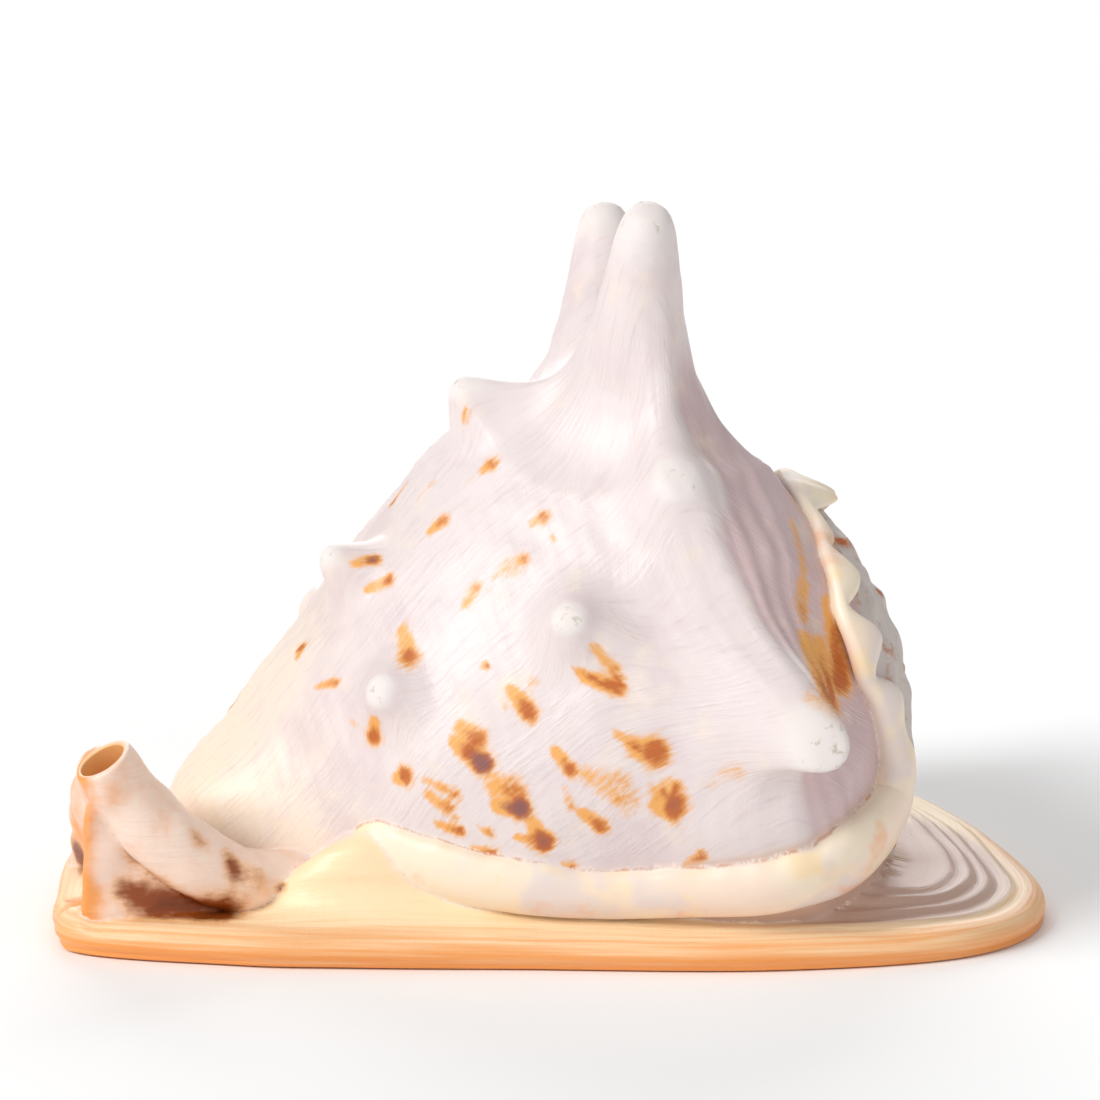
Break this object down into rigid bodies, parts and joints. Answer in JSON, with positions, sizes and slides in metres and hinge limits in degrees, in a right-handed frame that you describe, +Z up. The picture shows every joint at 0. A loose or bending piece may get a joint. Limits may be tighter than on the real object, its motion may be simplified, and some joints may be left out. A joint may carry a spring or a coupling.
{
  "type": "helmet shell",
  "caption": "Horned helmet sea shell lying on its flat flared base, with tall shoulder horns, a low coiled spire, a toothed aperture slot and an upturned siphonal canal.",
  "frame": {"origin": "middle of the bounding box on the plane of the flat base", "axes": "+X towards the spire along the shell's length, -X towards the siphonal canal, +Y towards the outer lip, -Y towards the side with the old lip roll, +Z up from the base"},
  "size_m": [0.238, 0.1854, 0.1724],
  "materials": {
    "shell": "satin porcelain-like shell, pinkish white with orange-brown marks and an apricot base"
  },
  "bodies": {
    "root": {"shell": "shell"}
  },
  "joints": []
}
